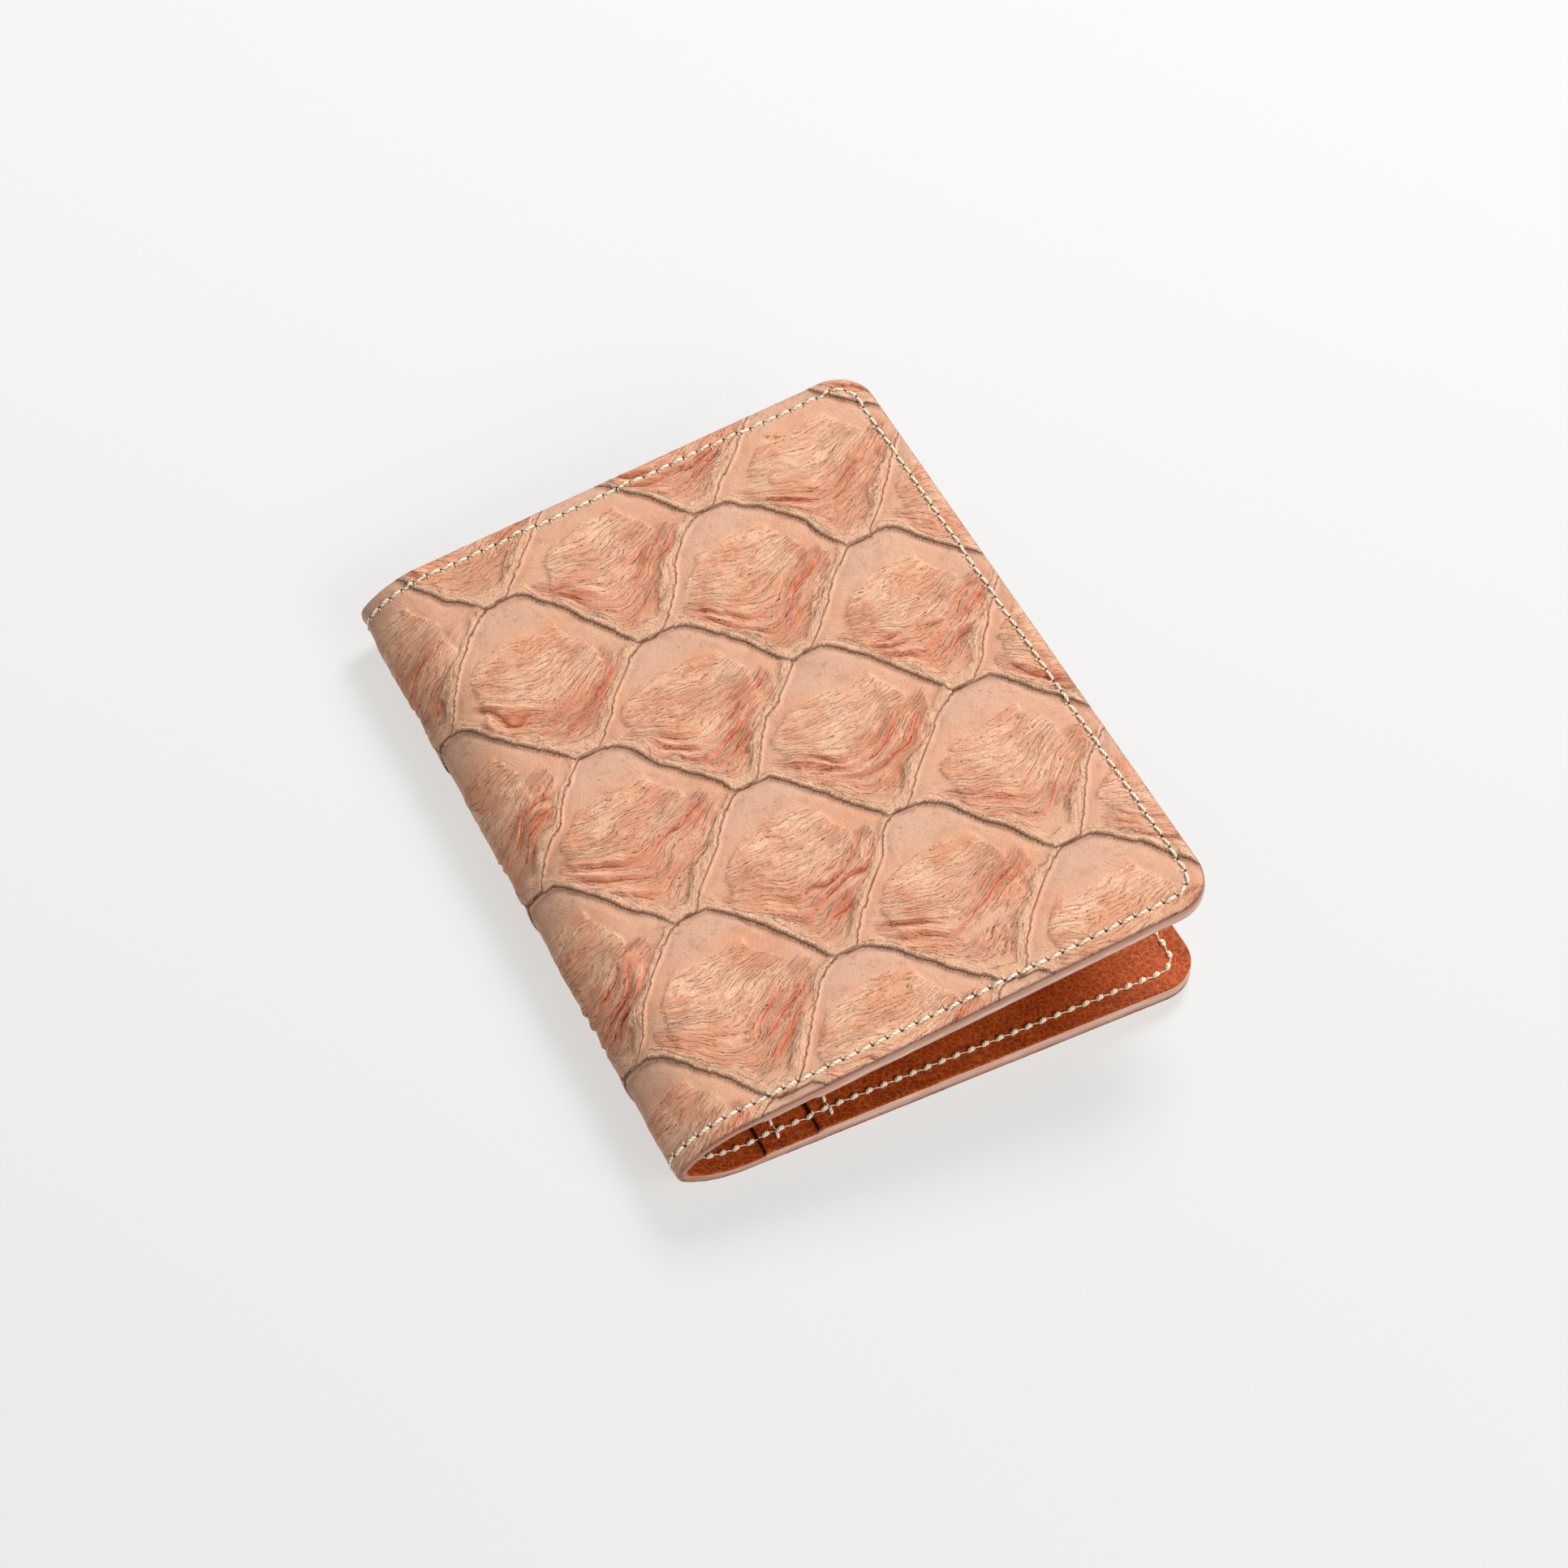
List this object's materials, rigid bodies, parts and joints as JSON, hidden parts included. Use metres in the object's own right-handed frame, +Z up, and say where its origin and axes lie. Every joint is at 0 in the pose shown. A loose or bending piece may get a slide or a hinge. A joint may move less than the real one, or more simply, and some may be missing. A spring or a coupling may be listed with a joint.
{
  "type": "bifold wallet",
  "caption": "Slim leather bifold wallet with large-scale grain covers, a soft folding spine, stitched edges and card pockets inside each cover.",
  "frame": {"origin": "on the rest surface, under the middle of the wallet's box as it lies on its back cover", "axes": "+Y along the fold, +X from the fold to the free edges, +Z up from the back cover to the front cover"},
  "size_m": [0.1021, 0.138, 0.0272],
  "materials": {
    "scale_leather": "large overlapping scale grain, peach tan with darker red-brown creases, satin",
    "inner_leather": "smooth cognac leather, fine pebble grain, satin",
    "stiffener_board": "bonded leather board, matt, not visible",
    "thread": "waxed cream thread"
  },
  "bodies": {
    "back_cover": {"back_outer_leather": "scale_leather", "back_stiffener": "stiffener_board", "back_lining": "inner_leather", "back_pocket_1": "inner_leather", "back_pocket_2": "inner_leather", "back_stitching_outside": "thread", "back_stitching_inside": "thread", "back_pocket_1_hem_stitching": "thread", "back_pocket_2_hem_stitching": "thread"},
    "spine": {"spine_outer_leather": "scale_leather", "spine_lining": "inner_leather", "spine_near_stitching_outside": "thread", "spine_near_stitching_inside": "thread", "spine_far_stitching_outside": "thread", "spine_far_stitching_inside": "thread"},
    "front_cover": {"front_outer_leather": "scale_leather", "front_stiffener": "stiffener_board", "front_lining": "inner_leather", "front_pocket_1": "inner_leather", "front_pocket_2": "inner_leather", "front_stitching_outside": "thread", "front_stitching_inside": "thread", "front_pocket_1_hem_stitching": "thread", "front_pocket_2_hem_stitching": "thread"}
  },
  "joints": [
    {"name": "spine_fold", "type": "hinge", "parent": "back_cover", "child": "spine", "pos_m": [-0.04994, 0, 0.00409], "axis": [0, -1, 0], "range_deg": [-5, 86]},
    {"name": "front_fold", "type": "hinge", "parent": "spine", "child": "front_cover", "pos_m": [-0.05027, 0, 0.00885], "axis": [0, -1, 0], "range_deg": [-5, 86]}
  ],
  "couplings": [
    {"joint": "front_fold", "follows": "spine_fold", "ratio": 1}
  ]
}
